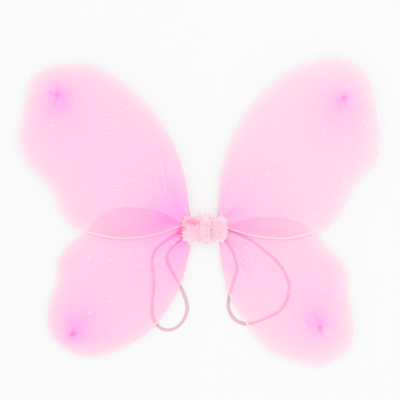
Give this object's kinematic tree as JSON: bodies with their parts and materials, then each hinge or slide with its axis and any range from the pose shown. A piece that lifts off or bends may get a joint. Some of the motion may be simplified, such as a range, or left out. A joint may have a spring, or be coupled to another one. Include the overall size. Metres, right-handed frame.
{
  "type": "costume fairy wings",
  "caption": "Butterfly-shaped costume wings: sheer covers on wire loops, a plush-wrapped middle that folds, and elastic shoulder loops.",
  "frame": {"origin": "middle of the plush band's flat back face, where it rests on a surface or on the wearer's back", "axes": "+X across the span to the viewer's right, +Y towards the top of the upper wings, +Z away from the wearer"},
  "size_m": [0.4711, 0.4028, 0.0187],
  "materials": {
    "wire": "thin white coated steel wire, satin",
    "nylon": "sheer pink stocking nylon, slight sheen",
    "thread": "pink sewing thread",
    "glitter": "clear glue with fine iridescent glitter",
    "plush": "soft pale pink plush pile",
    "tape": "matt cloth tape",
    "elastic": "flat braided elastic, dusty pink"
  },
  "bodies": {
    "centre": {"centre_wires": "wire", "binding_tape": "tape", "plush_band": "plush", "left_strap": "elastic", "right_strap": "elastic"},
    "left_root": {"left_wire_ends": "wire", "left_plush_turn": "plush"},
    "right_root": {"right_wire_ends": "wire", "right_plush_turn": "plush"},
    "upper_left_wing": {"upper_left_wire": "wire", "upper_left_cover": "nylon", "upper_left_root_tie": "thread", "upper_left_tip_tie": "thread", "upper_left_swirls": "glitter", "upper_left_dots": "glitter"},
    "upper_right_wing": {"upper_right_wire": "wire", "upper_right_cover": "nylon", "upper_right_root_tie": "thread", "upper_right_tip_tie": "thread", "upper_right_swirls": "glitter", "upper_right_dots": "glitter"},
    "lower_left_wing": {"lower_left_wire": "wire", "lower_left_cover": "nylon", "lower_left_root_tie": "thread", "lower_left_tip_tie": "thread", "lower_left_swirls": "glitter", "lower_left_dots": "glitter"},
    "lower_right_wing": {"lower_right_wire": "wire", "lower_right_cover": "nylon", "lower_right_root_tie": "thread", "lower_right_tip_tie": "thread", "lower_right_swirls": "glitter", "lower_right_dots": "glitter"}
  },
  "joints": [
    {"name": "left_flap", "type": "hinge", "parent": "centre", "child": "left_root", "pos_m": [-0.0086, 0, 0.01205], "axis": [0, 1, 0], "range_deg": [0, 85]},
    {"name": "right_flap", "type": "hinge", "parent": "centre", "child": "right_root", "pos_m": [0.0086, 0, 0.01205], "axis": [0, -1, 0], "range_deg": [0, 85]},
    {"name": "upper_left_fan", "type": "hinge", "parent": "left_root", "child": "upper_left_wing", "pos_m": [-0.013, 0.0035, 0.01055], "axis": [0, 0, 1], "range_deg": [-10, 30]},
    {"name": "lower_left_fan", "type": "hinge", "parent": "left_root", "child": "lower_left_wing", "pos_m": [-0.013, -0.0035, 0.0064], "axis": [0, 0, -1], "range_deg": [-10, 25]},
    {"name": "upper_right_fan", "type": "hinge", "parent": "right_root", "child": "upper_right_wing", "pos_m": [0.013, 0.0035, 0.01055], "axis": [0, 0, -1], "range_deg": [-10, 30]},
    {"name": "lower_right_fan", "type": "hinge", "parent": "right_root", "child": "lower_right_wing", "pos_m": [0.013, -0.0035, 0.0064], "axis": [0, 0, 1], "range_deg": [-10, 25]}
  ]
}
